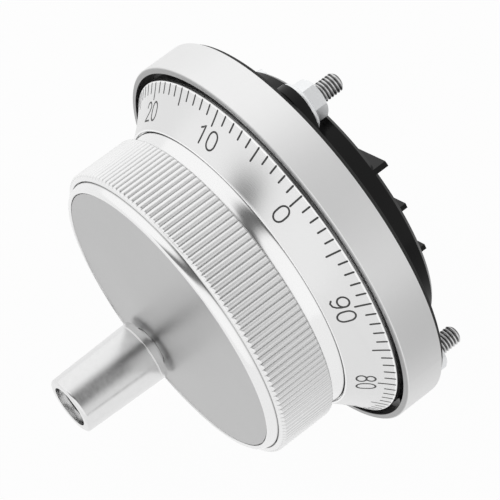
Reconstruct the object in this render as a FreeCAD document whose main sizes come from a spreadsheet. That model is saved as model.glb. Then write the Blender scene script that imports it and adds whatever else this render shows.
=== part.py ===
import FreeCAD, Part
import Sketcher
import math
import os

from FreeCAD import Placement, Rotation, Vector

# Driving dimensions, in millimetres, degrees and counts.
# Everything is drawn on the shaft: X to the right, Y up and Z towards the operator, with Z = 0 on
# the face of the panel. Each finished piece is then tipped so that the operator's side faces -Y.
DRIVING = {
    # Bezel and the gasket behind it
    "dial_gap": 0.9,
    "bezel_height": 8.2,
    "bezel_chamfer": 0.35,
    "bezel_lip_width": 1.2,
    "base_thickness": 4.0,
    "gasket_inset": 0.8,
    "gasket_thickness": 0.9,
    "gasket_clearance": 1.3,
    "encoder_recess_inset": 1.5,
    "encoder_recess_depth": 2.0,

    # Mounting hardware on the panel side
    "stud_inset": 5.5,
    "stud_dia": 4.0,
    "stud_core_dia": 3.3,
    "stud_reach": 11.0,
    "stud_grip": 4.6,
    "stud_point": 0.5,
    "stud_boss_dia": 9.0,
    "stud_hole_depth": 5.0,
    "thread_clearance": 0.05,
    "pad_thickness": 1.9,
    "pad_dia": 10.4,
    "pad_foot_width": 14.0,
    "washer_dia": 10.0,
    "washer_bore": 4.3,
    "washer_thickness": 0.8,
    "nut_width": 7.0,
    "nut_height": 3.2,

    # Rear housing with its terminal compartments
    "housing_inset": 11.2,
    "housing_depth": 7.3,
    "housing_wall": 1.7,
    "housing_floor_thickness": 2.8,
    "housing_edge_chamfer": 0.7,
    "housing_screw_inset": 1.6,
    "housing_screw_angle": 20.0,
    "housing_screw_dia": 2.6,
    "housing_screw_head_dia": 4.6,
    "housing_screw_head_height": 1.6,
    "housing_screw_grip": 3.0,
    "housing_post_dia": 4.4,
    "terminal_turn": 120.0,
    "barrier_pitch": 9.6,
    "barrier_thickness": 1.0,
    "barrier_height": 2.3,
    "barrier_inset": 3.8,
    "barrier_length": 12.0,
    "terminal_recess": 2.1,
    "terminal_wall": 1.2,
    "terminal_clearance": 0.3,
    "tab_thickness": 0.6,
    "tab_screw_inset": 5.4,
    "tab_pin_inset": 9.1,
    "clamp_side": 6.4,
    "clamp_thickness": 0.7,
    "terminal_screw_dia": 2.5,
    "terminal_screw_length": 2.8,
    "terminal_head_dia": 5.6,
    "terminal_head_height": 1.7,
    "terminal_boss_dia": 4.8,
    "terminal_boss_height": 1.3,
    "slot_width": 0.8,
    "slot_depth": 0.8,
    "pin_dia": 0.9,
    "pin_overhang": 0.5,

    # Circuit board and the optical pickup
    "board_thickness": 1.2,
    "board_gap": 1.6,
    "board_clearance": 0.6,
    "board_bore": 15.0,
    "board_screw_circle_dia": 32.0,
    "board_screw_grip": 1.1,
    "board_screw_dia": 1.6,
    "board_screw_head_dia": 3.0,
    "board_screw_head_height": 0.8,
    "board_spacer_dia": 3.2,
    "sensor_gap": 0.4,
    "sensor_width": 6.0,
    "sensor_length": 3.6,
    "mask_thickness": 0.2,
    "emitter_gap": 0.3,
    "emitter_height": 0.4,
    "emitter_side": 2.4,
    "bracket_width": 6.0,
    "bracket_post": 2.2,
    "bracket_clearance": 0.5,
    "roof_clearance": 0.3,
    "driver_length": 9.8,
    "driver_width": 3.9,
    "driver_height": 1.5,
    "driver_line": 11.6,
    "capacitor_dia": 3.0,
    "capacitor_height": 3.0,
    "capacitor_inset": 2.4,

    # Code wheel and its hub
    "code_clearance": 5.5,
    "code_thickness": 0.3,
    "code_slits": 100,
    "code_slit_inset": 1.5,
    "code_slit_length": 2.0,
    "code_slit_width": 0.5,
    "code_flange_width": 2.5,
    "code_flange_thickness": 0.7,
    "code_boss_wall": 2.0,
    "code_hub_length": 1.9,
    "code_hub_clearance": 0.2,

    # Shaft and its two bearings
    "shaft_dia": 8.0,
    "shaft_tail_dia": 6.0,
    "shaft_tail_past_code": 0.6,
    "shaft_point": 0.4,
    "shaft_fit": 0.02,
    "bearing_dia": 16.0,
    "bearing_width": 5.0,
    "bearing_inner_wall": 1.3,
    "bearing_outer_wall": 1.1,
    "bearing_shield": 0.3,
    "bearing_shield_gap": 0.15,
    "rear_bearing_inset": 0.5,
    "spacer_wall": 1.0,
    "clip_width": 1.5,
    "clip_thickness": 0.8,
    "clip_groove_depth": 0.3,
    "tube_wall": 2.0,
    "tube_web_width": 0.8,
    "tube_overhang": 0.5,
    "tube_flange_width": 3.5,
    "tube_flange_thickness": 2.0,
    "tube_spigot_step": 1.0,
    "tube_screw_offset": 1.7,
    "small_screw_dia": 2.0,
    "small_screw_head_dia": 3.0,
    "small_screw_head_height": 1.2,
    "small_screw_grip": 1.8,

    # Magnetic detent between the base and the dial
    "yoke_flange_width": 4.0,
    "yoke_wall": 3.0,
    "yoke_flange_thickness": 1.6,
    "yoke_bore_clearance": 0.5,
    "yoke_screw_inset": 2.2,
    "magnet_height": 1.6,
    "magnet_width": 2.6,
    "shoe_count": 3,
    "shoe_arc": 25.2,
    "shoe_tooth_count": 7,
    "detent_air_gap": 0.3,
    "detent_thickness": 1.6,
    "detent_teeth": 100,
    "detent_rim_width": 6.5,
    "detent_rim_clearance": 1.25,
    "detent_bore_clearance": 1.0,
    "detent_tooth_depth": 1.1,
    "detent_gap_root": 0.62,
    "detent_gap_mouth": 0.82,

    # Conical dial
    "dial_flare": 6.55,
    "dial_rise": 0.1,
    "dial_edge_height": 1.6,
    "dial_clearance": 0.5,
    "dial_edge_chamfer": 0.4,
    "dial_height": 7.2,
    "dial_hollow_radius": 40.0,
    "dial_wall": 1.6,
    "dial_bore_step": 2.0,
    "dial_screw_inset": 2.2,
    "dial_zero_angle": 67.3,

    # Fluted wheel with its face plate
    "waist_flare": 0.95,
    "waist_height": 3.4,
    "waist_hollow_radius": 2.6,
    "flute_count": 150,
    "flute_length": 10.2,
    "flute_depth": 0.42,
    "flute_mouth": 0.84,
    "shoulder_height": 1.3,
    "shoulder_radius": 1.5,
    "shoulder_width": 1.5,
    "crown_groove_inset": 0.8,
    "crown_height": 1.7,
    "crown_radius": 1.5,
    "crown_width": 1.0,
    "crown_land": 0.48,
    "wheel_wall": 4.3,
    "wheel_inner_flange": 2.0,
    "web_thickness": 3.2,
    "plate_thickness": 1.2,
    "plate_recess": 0.12,
    "plate_clearance": 0.12,

    # Hub that carries the wheel on the shaft
    "hub_flange_dia": 28.0,
    "hub_flange_thickness": 2.4,
    "hub_boss_wall": 3.5,
    "hub_boss_length": 2.9,
    "hub_nose_length": 0.8,
    "hub_screw_inset": 3.5,
    "hub_screw_dia": 2.5,
    "hub_screw_head_dia": 5.5,
    "hub_screw_head_height": 1.7,
    "hub_screw_sink": 0.1,
    "set_screw_dia": 2.0,

    # Turning handle and its pin
    "handle_inset": 6.4,
    "handle_gap": 1.0,
    "handle_length": 18.8,
    "handle_base_dia": 12.9,
    "handle_taper": 0.45,
    "handle_tip_radius": 0.6,
    "handle_ring_line": 1.4,
    "handle_ring_depth": 0.15,
    "handle_bore_step": 0.75,
    "handle_bore_depth": 4.4,
    "handle_bush_wall": 1.1,
    "handle_play": 0.15,
    "pin_shank_dia": 5.0,
    "pin_running_fit": 0.05,
    "pin_collar_step": 0.4,
    "pin_thread_step": 0.4,
    "pin_thread_length": 6.4,
    "pin_boss_dia": 10.0,
    "pin_boss_height": 4.0,
    "pin_head_clearance": 0.55,
    "pin_head_height": 2.6,
    "pin_slot_width": 1.3,
    "pin_slot_depth": 1.2,
    "pin_slot_angle": 20.0,
}


class Size:
    """A number together with the formula that gives it from the spreadsheet."""

    def __init__(self, number, formula):
        self.number = number
        self.formula = formula

    @staticmethod
    def of(value):
        return value if isinstance(value, Size) else Size(float(value), repr(value))

    def __add__(self, other):
        other = Size.of(other)
        return Size(self.number + other.number, f"({self.formula} + {other.formula})")

    def __radd__(self, other):
        return Size.of(other) + self

    def __sub__(self, other):
        other = Size.of(other)
        return Size(self.number - other.number, f"({self.formula} - {other.formula})")

    def __rsub__(self, other):
        return Size.of(other) - self

    def __mul__(self, other):
        other = Size.of(other)
        return Size(self.number * other.number, f"({self.formula} * {other.formula})")

    def __rmul__(self, other):
        return Size.of(other) * self

    def __truediv__(self, other):
        other = Size.of(other)
        return Size(self.number / other.number, f"({self.formula} / {other.formula})")

    def __neg__(self):
        return Size(-self.number, f"(0 - {self.formula})")


def sine(angle):
    return Size(math.sin(math.radians(angle.number)), f"sin({angle.formula} * 1 deg)")


def cosine(angle):
    return Size(math.cos(math.radians(angle.number)), f"cos({angle.formula} * 1 deg)")


class SizeSheet:
    """The spreadsheet: driving numbers first, then the places worked out from them."""

    def __init__(self, doc):
        self.sheet = doc.addObject("Spreadsheet::Sheet", "Sizes")
        self.row = 0

    def _store(self, name, text, number):
        self.row += 1
        cell = f"B{self.row}"
        self.sheet.set(f"A{self.row}", name)
        self.sheet.set(cell, text)
        self.sheet.setAlias(cell, name)
        size = Size(number, f"Sizes.{name}")
        setattr(self, name, size)
        return size

    def drive(self, name, number):
        return self._store(name, str(number), float(number))

    def derive(self, name, size):
        return self._store(name, "=" + size.formula.replace("Sizes.", ""), size.number)


doc = FreeCAD.newDocument("pulse_generator_handwheel")
s = SizeSheet(doc)
for dimension, value in DRIVING.items():
    s.drive(dimension, value)

# Diameters and lines on the shaft, each tied to its neighbour from the inside outwards
s.derive("bearing_inner_dia", s.shaft_dia + s.bearing_inner_wall * 2)
s.derive("bearing_outer_bore", s.bearing_dia - s.bearing_outer_wall * 2)
s.derive("spacer_dia", s.shaft_dia + s.spacer_wall * 2)
s.derive("clip_groove_dia", s.shaft_dia - s.clip_groove_depth * 2)
s.derive("clip_dia", s.clip_groove_dia + s.clip_width * 2)
s.derive("tube_dia", s.bearing_dia + s.tube_wall * 2)
s.derive("tube_web_bore", s.bearing_dia - s.tube_web_width * 2)
s.derive("tube_flange_dia", s.tube_dia + s.tube_flange_width * 2)
s.derive("tube_spigot_dia", s.tube_dia - s.tube_spigot_step * 2)
s.derive("tube_screw_circle_dia", s.tube_dia + s.tube_screw_offset * 2)
s.derive("yoke_bore", s.tube_flange_dia + s.yoke_bore_clearance * 2)
s.derive("yoke_dia", s.yoke_bore + (s.yoke_flange_width + s.yoke_wall) * 2)
s.derive("yoke_screw_circle_dia", s.yoke_dia - (s.yoke_wall + s.yoke_screw_inset) * 2)
s.derive("detent_bore_dia", s.yoke_dia + s.detent_bore_clearance * 2)
s.derive("detent_dia", s.detent_bore_dia + s.detent_rim_width * 2)
s.derive("dial_bore", s.detent_bore_dia + s.dial_bore_step * 2)
s.derive("dial_screw_circle_dia", s.detent_dia - s.dial_screw_inset * 2)
s.derive("dial_top_dia", s.detent_dia + (s.detent_rim_clearance + s.dial_wall) * 2)
s.derive("dial_dia", s.dial_top_dia + s.dial_flare * 2)
s.derive("bezel_dia", s.dial_dia + (s.dial_gap + s.bezel_lip_width) * 2)
s.derive("wheel_dia", s.dial_top_dia + s.waist_flare * 2)
s.derive("shoulder_dia", s.wheel_dia - s.shoulder_width * 2)
s.derive("crown_groove_dia", s.shoulder_dia - s.crown_groove_inset * 2)
s.derive("crown_top_dia", s.crown_groove_dia - s.crown_width * 2)
s.derive("plate_dia", s.crown_top_dia - (s.crown_land + s.plate_clearance) * 2)
s.derive("hub_boss_dia", s.shaft_dia + s.hub_boss_wall * 2)
s.derive("hub_screw_circle_dia", s.hub_flange_dia - s.hub_screw_inset * 2)

# Diameters and lines behind the panel, tied to the bezel from the outside inwards
s.derive("gasket_dia", s.bezel_dia - s.gasket_inset * 2)
s.derive("stud_circle_dia", s.bezel_dia - s.stud_inset * 2)
s.derive("housing_dia", s.bezel_dia - s.housing_inset * 2)
s.derive("housing_screw_circle_dia", s.housing_dia - (s.housing_wall + s.housing_screw_inset) * 2)
s.derive("barrier_outer_edge", s.housing_dia / 2 - s.barrier_inset)
s.derive("barrier_inner_edge", s.barrier_outer_edge - s.barrier_length)
s.derive("terminal_edge", s.barrier_outer_edge - s.terminal_wall)
s.derive("tab_screw_line", s.barrier_outer_edge - s.tab_screw_inset)
s.derive("tab_pin_line", s.barrier_outer_edge - s.tab_pin_inset)
s.derive("encoder_recess_dia", s.housing_screw_circle_dia - s.encoder_recess_inset * 2)
s.derive("capacitor_line", s.encoder_recess_dia / 2 - s.capacitor_inset)
s.derive("code_dia", s.encoder_recess_dia - s.code_clearance * 2)
s.derive("code_slit_line", s.code_dia - s.code_slit_inset * 2)
s.derive("code_boss_dia", s.shaft_tail_dia + s.code_boss_wall * 2)
s.derive("code_flange_dia", s.code_boss_dia + s.code_flange_width * 2)

# Diameters and lines of the turning handle, from its pin outwards
s.derive("handle_line", s.plate_dia / 2 - s.handle_inset)
s.derive("handle_tip_dia", s.handle_base_dia - s.handle_taper * 2)
s.derive("handle_bush_dia", s.pin_shank_dia + s.handle_bush_wall * 2)
s.derive("handle_bore", s.handle_bush_dia + s.handle_bore_step * 2)
s.derive("pin_collar_dia", s.handle_bush_dia + s.pin_collar_step * 2)
s.derive("pin_thread_dia", s.pin_shank_dia - s.pin_thread_step * 2)
s.derive("pin_head_dia", s.handle_bore - s.pin_head_clearance * 2)

# Places along the shaft, from the panel towards the operator
s.derive("bezel_back", s.gasket_thickness)
s.derive("base_front", s.bezel_back + s.base_thickness)
s.derive("bezel_front", s.bezel_back + s.bezel_height)
s.derive("dial_edge_front", s.bezel_front + s.dial_rise)
s.derive("dial_edge_back", s.dial_edge_front - s.dial_edge_chamfer - s.dial_edge_height)
s.derive("stud_boss_front", s.dial_edge_back - s.dial_clearance)
s.derive("dial_front", s.dial_edge_front + s.dial_height)
s.derive("waist_front", s.dial_front + s.waist_height)
s.derive("flute_front", s.waist_front + s.flute_length)
s.derive("shoulder_front", s.flute_front + s.shoulder_height)
s.derive("wheel_front", s.shoulder_front + s.crown_height)
s.derive("plate_front", s.wheel_front - s.plate_recess)
s.derive("plate_back", s.plate_front - s.plate_thickness)
s.derive("web_back", s.plate_back - s.web_thickness)
s.derive("hub_flange_back", s.web_back - s.hub_flange_thickness)
s.derive("hub_boss_back", s.hub_flange_back - s.hub_boss_length)
s.derive("front_bearing_front", s.hub_boss_back - s.hub_nose_length)
s.derive("front_bearing_back", s.front_bearing_front - s.bearing_width)
s.derive("rear_bearing_back", s.base_front - s.rear_bearing_inset)
s.derive("rear_bearing_front", s.rear_bearing_back + s.bearing_width)
s.derive("clip_back", s.rear_bearing_back - s.clip_thickness)
s.derive("tube_front", s.front_bearing_front + s.tube_overhang)
s.derive("dial_flange_back", s.dial_front - s.dial_wall)
s.derive("detent_back", s.dial_flange_back - s.detent_thickness)
s.derive("magnet_back", s.detent_back - s.magnet_height)

# Places behind the panel
s.derive("encoder_roof", s.bezel_back + s.encoder_recess_depth)
s.derive("housing_back", -s.housing_depth)
s.derive("housing_floor", s.housing_back + s.housing_floor_thickness)
s.derive("board_back", s.housing_floor + s.board_gap)
s.derive("board_front", s.board_back + s.board_thickness)
s.derive("terminal_floor", s.housing_back + s.terminal_recess)
s.derive("tab_back", s.terminal_floor - s.tab_thickness)
s.derive("clamp_back", s.tab_back - s.clamp_thickness)
s.derive("barrier_back", s.housing_back - s.barrier_height)
s.derive("code_hub_front", s.encoder_roof - s.code_hub_clearance)
s.derive("code_front", s.code_hub_front - s.code_hub_length)
s.derive("code_back", s.code_front - s.code_thickness)
s.derive("mask_back", s.code_back - s.sensor_gap - s.mask_thickness)
s.derive("washer_back", -s.pad_thickness - s.washer_thickness)
s.derive("nut_back", s.washer_back - s.nut_height)

# Places of the turning handle
s.derive("handle_angle", s.dial_zero_angle + 180)
s.derive("handle_x", s.handle_line * cosine(s.handle_angle))
s.derive("handle_y", s.handle_line * sine(s.handle_angle))
s.derive("handle_back", s.plate_front + s.handle_gap)
s.derive("handle_front", s.handle_back + s.handle_length)
s.derive("handle_step", s.handle_front - s.handle_bore_depth)

ON_SHAFT = Placement(Vector(0, 0, 0), Rotation(Vector(1, 0, 0), 90))
# The rear housing and all that it carries are drawn with their rows level and then turned
IN_HOUSING = ON_SHAFT * Placement(Vector(0, 0, 0), Rotation(Vector(0, 0, 1), s.terminal_turn.number))
FULL_TURN = 360
bodies = []


class Bend:
    """An arc between two corners of a profile; a positive side bends to the left of the way."""

    def __init__(self, radius, side):
        self.radius = radius
        self.side = side


def origin_feature(body, role):
    return next(item for item in body.Origin.OriginFeatures if item.Role == role)


def new_body(label, several=False, place=ON_SHAFT):
    body = doc.addObject("PartDesign::Body", label)
    body.Label = label
    body.AllowCompound = several
    body.Placement = place
    bodies.append(body)
    return body


def new_sketch(body, name, plane="XY_Plane", at=None, turned=None):
    sketch = body.newObject("Sketcher::SketchObject", f"{body.Name}_{name}")
    sketch.AttachmentSupport = [(origin_feature(body, plane), "")]
    sketch.MapMode = "FlatFace"
    angle = turned.number if turned is not None else 0.0
    height = at.number if at is not None else 0.0
    sketch.AttachmentOffset = Placement(Vector(0, 0, height), Rotation(Vector(0, 0, 1), angle))
    if at is not None:
        sketch.setExpression("AttachmentOffset.Base.z", at.formula)
    if turned is not None:
        sketch.setExpression("AttachmentOffset.Rotation.Angle", turned.formula + " * 1 deg")
    return sketch


def bind(sketch, constraint, size):
    index = sketch.addConstraint(constraint)
    sketch.setExpression(f"Constraints[{index}]", size.formula)


def pin_point(sketch, edge, end, x, y):
    """Fix one end of an edge at a place given by two sizes."""
    for kind, size, axis in (("DistanceX", Size.of(x), -2), ("DistanceY", Size.of(y), -1)):
        if size.number == 0.0:
            sketch.addConstraint(Sketcher.Constraint("PointOnObject", edge, end, axis))
        else:
            bind(sketch, Sketcher.Constraint(kind, -1, 1, edge, end, size.number), size)


def outline(sketch, steps):
    """Draw a closed outline from corners (x, y), with a Bend between the corners of an arc."""
    corners = [step for step in steps if not isinstance(step, Bend)]
    bends = {}
    count = 0
    for step in steps:
        if isinstance(step, Bend):
            bends[count - 1] = step
        else:
            count += 1
    ends = []
    for index, corner in enumerate(corners):
        after = corners[(index + 1) % len(corners)]
        start = Vector(Size.of(corner[0]).number, Size.of(corner[1]).number, 0)
        stop = Vector(Size.of(after[0]).number, Size.of(after[1]).number, 0)
        if index in bends:
            edge = add_arc(sketch, start, stop, bends[index])
            ends.append((edge, 1, 2) if bends[index].side < 0 else (edge, 2, 1))
        else:
            edge = sketch.addGeometry(Part.LineSegment(start, stop), False)
            ends.append((edge, 1, 2))
    for index, (edge, start, stop) in enumerate(ends):
        following = ends[(index + 1) % len(ends)]
        sketch.addConstraint(Sketcher.Constraint("Coincident", edge, stop, following[0], following[1]))
        pin_point(sketch, edge, start, *corners[index])
    for index, bend in bends.items():
        edge = ends[index][0]
        size = Size.of(bend.radius)
        bind(sketch, Sketcher.Constraint("Radius", edge, size.number), size)
    return sketch


def add_arc(sketch, start, stop, bend):
    """An arc of the bend's radius; side -1 runs counter-clockwise, side 1 runs clockwise."""
    radius = Size.of(bend.radius).number
    chord = stop - start
    half = chord.Length / 2
    normal = Vector(-chord.y, chord.x, 0).normalize()
    reach = math.sqrt(max(radius * radius - half * half, 0.0))
    centre = (start + stop) * 0.5 + normal * (-bend.side * reach)
    circle = Part.Circle(centre, Vector(0, 0, 1), radius)
    first = math.atan2(start.y - centre.y, start.x - centre.x)
    last = math.atan2(stop.y - centre.y, stop.x - centre.x)
    if bend.side > 0:
        first, last = last, first
    return sketch.addGeometry(Part.ArcOfCircle(circle, first, last), False)


def circle(sketch, x, y, radius):
    radius = Size.of(radius)
    centre = Vector(Size.of(x).number, Size.of(y).number, 0)
    edge = sketch.addGeometry(Part.Circle(centre, Vector(0, 0, 1), radius.number), False)
    bind(sketch, Sketcher.Constraint("Radius", edge, radius.number), radius)
    pin_point(sketch, edge, 3, x, y)
    return sketch


def rectangle(sketch, left, bottom, right, top):
    return outline(sketch, [(left, bottom), (right, bottom), (right, top), (left, top)])


def turn(body, steps, name="profile", cut=False):
    """Revolve a half section, drawn as (radius, place along the shaft), round the shaft."""
    sketch = outline(new_sketch(body, name, "XZ_Plane"), steps)
    kind = "PartDesign::Groove" if cut else "PartDesign::Revolution"
    feature = body.newObject(kind, f"{sketch.Name}_turned")
    feature.Profile = sketch
    feature.ReferenceAxis = (sketch, ["V_Axis"])
    feature.Angle = FULL_TURN
    return feature


def turn_on(body, steps, x, y, name="profile"):
    """Revolve a half section round an axis that stands at x, y and is parallel to the shaft."""
    feature = turn(body, steps, name)
    body.setExpression("Placement.Base.x", x.formula)
    body.setExpression("Placement.Base.z", y.formula)
    return feature


def pad(body, sketch, length):
    feature = body.newObject("PartDesign::Pad", f"{sketch.Name}_pad")
    feature.Profile = sketch
    feature.Length = length.number
    feature.setExpression("Length", length.formula)
    return feature


def pocket(body, sketch, depth, towards_operator=False):
    """Cut away from the operator, or towards them, starting at the sketch."""
    feature = body.newObject("PartDesign::Pocket", f"{sketch.Name}_pocket")
    feature.Profile = sketch
    feature.Length = depth.number
    feature.setExpression("Length", depth.formula)
    feature.Reversed = towards_operator
    return feature


def polar(body, features, count):
    """Repeat features evenly round the shaft, in one pattern for all of them."""
    feature = body.newObject("PartDesign::PolarPattern", f"{features[0].Name}_round")
    feature.Originals = features
    feature.Axis = (origin_feature(body, "Z_Axis"), [""])
    feature.Angle = FULL_TURN
    feature.Occurrences = int(count.number)
    feature.setExpression("Occurrences", count.formula)
    body.Tip = feature
    return feature


def half(size):
    return size / 2


def rods(body, name, places, diameter, start, stop):
    """Round bars parallel to the shaft at the given places, from start to stop."""
    sketch = new_sketch(body, name, at=start)
    for x, y in places:
        circle(sketch, x, y, half(diameter))
    return pad(body, sketch, stop - start)


def holes(body, name, places, diameter, start, stop):
    """Round holes parallel to the shaft at the given places, from start to stop."""
    sketch = new_sketch(body, name, at=stop)
    for x, y in places:
        circle(sketch, x, y, half(diameter))
    return pocket(body, sketch, stop - start)


def around(radius, angle):
    """The place at a radius and an angle round the shaft."""
    return radius * cosine(Size.of(angle)), radius * sine(Size.of(angle))


def ring_places(circle_dia, angles):
    return [around(half(circle_dia), angle) for angle in angles]


def disc(body, outer_dia, bore_dia, start, stop, name="disc"):
    """A flat ring on the shaft."""
    return turn(body, [
        (half(bore_dia), start),
        (half(outer_dia), start),
        (half(outer_dia), stop),
        (half(bore_dia), stop),
    ], name)


def screws(label, places, head_dia, head_height, shank_dia, seat, point, head_forward,
           place=ON_SHAFT):
    """Round-headed screws whose heads sit on the seat and whose shanks end at the point."""
    body = new_body(label, several=True, place=place)
    if head_forward:
        rods(body, "heads", places, head_dia, seat, seat + head_height)
        rods(body, "shanks", places, shank_dia, point, seat)
    else:
        rods(body, "heads", places, head_dia, seat - head_height, seat)
        rods(body, "shanks", places, shank_dia, seat, point)
    return body


# Angles round the shaft that several pieces share
STUD_ANGLES = [90 + 120 * turn_index for turn_index in range(3)]
TUBE_SCREW_ANGLES = [30, 150, 270]
YOKE_SCREW_ANGLES = [90, 210, 330]
HUB_SCREW_ANGLES = [0, 120, 240]
BOARD_SCREW_ANGLES = [45, 135, 225, 315]
DIAL_SCREW_ANGLES = [60, 180, 300]
CAPACITOR_ANGLE = 150

stud_places = ring_places(s.stud_circle_dia, STUD_ANGLES)
tube_screw_places = ring_places(s.tube_screw_circle_dia, TUBE_SCREW_ANGLES)
yoke_screw_places = ring_places(s.yoke_screw_circle_dia, YOKE_SCREW_ANGLES)
hub_screw_places = ring_places(s.hub_screw_circle_dia, HUB_SCREW_ANGLES)
board_screw_places = ring_places(s.board_screw_circle_dia, BOARD_SCREW_ANGLES)
dial_screw_places = ring_places(s.dial_screw_circle_dia, DIAL_SCREW_ANGLES)
housing_screw_angles = [
    s.housing_screw_angle,
    180 - s.housing_screw_angle,
    180 + s.housing_screw_angle,
    -s.housing_screw_angle,
]
housing_screw_places = ring_places(s.housing_screw_circle_dia, housing_screw_angles)
row_places = [-s.barrier_pitch, Size.of(0), s.barrier_pitch]
handle_place = (s.handle_x, s.handle_y)


def threaded(diameter):
    """The bore that takes a threaded shank of this diameter."""
    return diameter + s.thread_clearance * 2


def make_bezel_body():
    body = new_body("bezel_body")
    spigot_bore = half(s.tube_spigot_dia) + s.shaft_fit
    recess = half(s.encoder_recess_dia)
    outer = half(s.bezel_dia)
    inner = outer - s.bezel_lip_width
    turn(body, [
        (spigot_bore, s.encoder_roof),
        (recess, s.encoder_roof),
        (recess, s.bezel_back),
        (outer, s.bezel_back),
        (outer, s.bezel_front - s.bezel_chamfer),
        (outer - s.bezel_chamfer, s.bezel_front),
        (inner, s.bezel_front),
        (inner, s.base_front),
        (spigot_bore, s.base_front),
    ])
    rods(body, "stud_bosses", stud_places, s.stud_boss_dia, s.base_front, s.stud_boss_front)
    holes(body, "stud_holes", stud_places, threaded(s.stud_core_dia), s.bezel_back,
          s.bezel_back + s.stud_hole_depth)
    turned_places = ring_places(s.housing_screw_circle_dia,
                                [angle + s.terminal_turn for angle in housing_screw_angles])
    holes(body, "housing_holes", turned_places, threaded(s.housing_screw_dia), s.bezel_back,
          s.bezel_back + s.housing_screw_grip + s.stud_point)
    holes(body, "tube_holes", tube_screw_places, threaded(s.small_screw_dia), s.encoder_roof,
          s.base_front)
    holes(body, "yoke_holes", yoke_screw_places, threaded(s.small_screw_dia), s.encoder_roof,
          s.base_front)


def make_gasket():
    body = new_body("mounting_gasket")
    disc(body, s.gasket_dia, s.housing_dia + s.gasket_clearance * 2, Size.of(0), s.bezel_back)
    holes(body, "stud_holes", stud_places, s.stud_dia, Size.of(0), s.bezel_back)


def make_studs():
    """Only the exposed end has the full diameter; the thread in nut and base is its core."""
    body = new_body("mounting_studs", several=True)
    end = -s.stud_reach
    rods(body, "cores", stud_places, s.stud_core_dia, s.nut_back, s.bezel_back + s.stud_grip)
    rods(body, "ends", stud_places, s.stud_dia, end + s.stud_point, s.nut_back)
    rods(body, "points", stud_places, s.stud_core_dia, end, end + s.stud_point)


def make_stud_pads():
    """Pads that take the panel's place, each with a wide foot towards the housing."""
    body = new_body("stud_pads", several=True)
    radius = half(s.pad_dia)
    line = half(s.stud_circle_dia)
    foot = half(s.housing_dia) + s.gasket_clearance
    side = radius * math.cos(math.radians(15))
    outward = line + radius * math.sin(math.radians(15))
    for index, angle in enumerate(STUD_ANGLES):
        sketch = new_sketch(body, f"outline{index}", at=-s.pad_thickness, turned=Size.of(angle))
        outline(sketch, [
            (foot, -half(s.pad_foot_width)),
            (outward, -side),
            Bend(radius, -1),
            (outward, side),
            (foot, half(s.pad_foot_width)),
        ])
        pad(body, sketch, s.pad_thickness)
    holes(body, "holes", stud_places, s.washer_bore, -s.pad_thickness, Size.of(0))


def make_washers():
    body = new_body("flat_washers", several=True)
    sketch = new_sketch(body, "rings", at=s.washer_back)
    for x, y in stud_places:
        circle(sketch, x, y, half(s.washer_dia))
        circle(sketch, x, y, half(s.washer_bore))
    pad(body, sketch, s.washer_thickness)


def make_nuts():
    body = new_body("hex_nuts", several=True)
    sketch = new_sketch(body, "outlines", at=s.nut_back)
    corner = half(s.nut_width) / math.cos(math.radians(30))
    for x, y in stud_places:
        hexagon = [around(corner, 60 * side) for side in range(6)]
        outline(sketch, [(x + dx, y + dy) for dx, dy in hexagon])
        circle(sketch, x, y, half(threaded(s.stud_core_dia)))
    pad(body, sketch, s.nut_height)


def make_rear_housing():
    """A moulded cup; each row of terminals has recessed floors beside three barrier walls."""
    body = new_body("rear_housing", place=IN_HOUSING)
    outer = half(s.housing_dia)
    inner = outer - s.housing_wall
    edge = s.housing_edge_chamfer
    turn(body, [
        (0, s.housing_back),
        (outer - edge, s.housing_back),
        (outer, s.housing_back + edge),
        (outer, s.bezel_back),
        (inner, s.bezel_back),
        (inner, s.housing_floor),
        (0, s.housing_floor),
    ])
    rods(body, "posts", housing_screw_places, s.housing_post_dia, s.housing_floor, s.bezel_back)
    holes(body, "screw_holes", housing_screw_places, threaded(s.housing_screw_dia), s.housing_back,
          s.bezel_back)
    holes(body, "board_screw_holes", board_screw_places, threaded(s.board_screw_dia),
          s.housing_floor - s.board_screw_grip - s.pin_overhang, s.housing_floor)

    walls = new_sketch(body, "barriers", at=s.barrier_back)
    for side in (-0.5, 0.5, 1.5):
        middle = s.barrier_pitch * side
        rectangle(walls, middle - half(s.barrier_thickness), -s.barrier_outer_edge,
                  middle + half(s.barrier_thickness), -s.barrier_inner_edge)
    wall_feature = pad(body, walls, s.barrier_height + edge)

    floors = new_sketch(body, "terminal_floors", at=s.terminal_floor)
    for x in row_places:
        reach = half(s.barrier_pitch - s.barrier_thickness)
        rectangle(floors, x - reach, -s.terminal_edge, x + reach, -s.barrier_inner_edge)
    floor_feature = pocket(body, floors, s.terminal_recess)

    screw_places = [(x, -s.tab_screw_line) for x in row_places]
    boss_front = s.housing_floor + s.terminal_boss_height
    boss_feature = rods(body, "bosses", screw_places, s.terminal_boss_dia, s.housing_floor, boss_front)
    screw_feature = holes(body, "terminal_holes", screw_places, threaded(s.terminal_screw_dia),
                          s.terminal_floor, boss_front)
    pin_places = [(x, -s.tab_pin_line) for x in row_places]
    pin_feature = holes(body, "pin_holes", pin_places, threaded(s.pin_dia), s.terminal_floor,
                        s.housing_floor)
    polar(body, [wall_feature, floor_feature, boss_feature, screw_feature, pin_feature], Size.of(2))
    turn(body, [
        (outer, s.barrier_back),
        (outer + s.barrier_thickness, s.barrier_back),
        (outer + s.barrier_thickness, s.housing_back + edge),
        (outer, s.housing_back + edge),
    ], "barrier_corners", cut=True)
    screws("housing_screws", housing_screw_places, s.housing_screw_head_dia,
           s.housing_screw_head_height, s.housing_screw_dia, s.housing_back,
           s.bezel_back + s.housing_screw_grip, False, IN_HOUSING)


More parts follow.
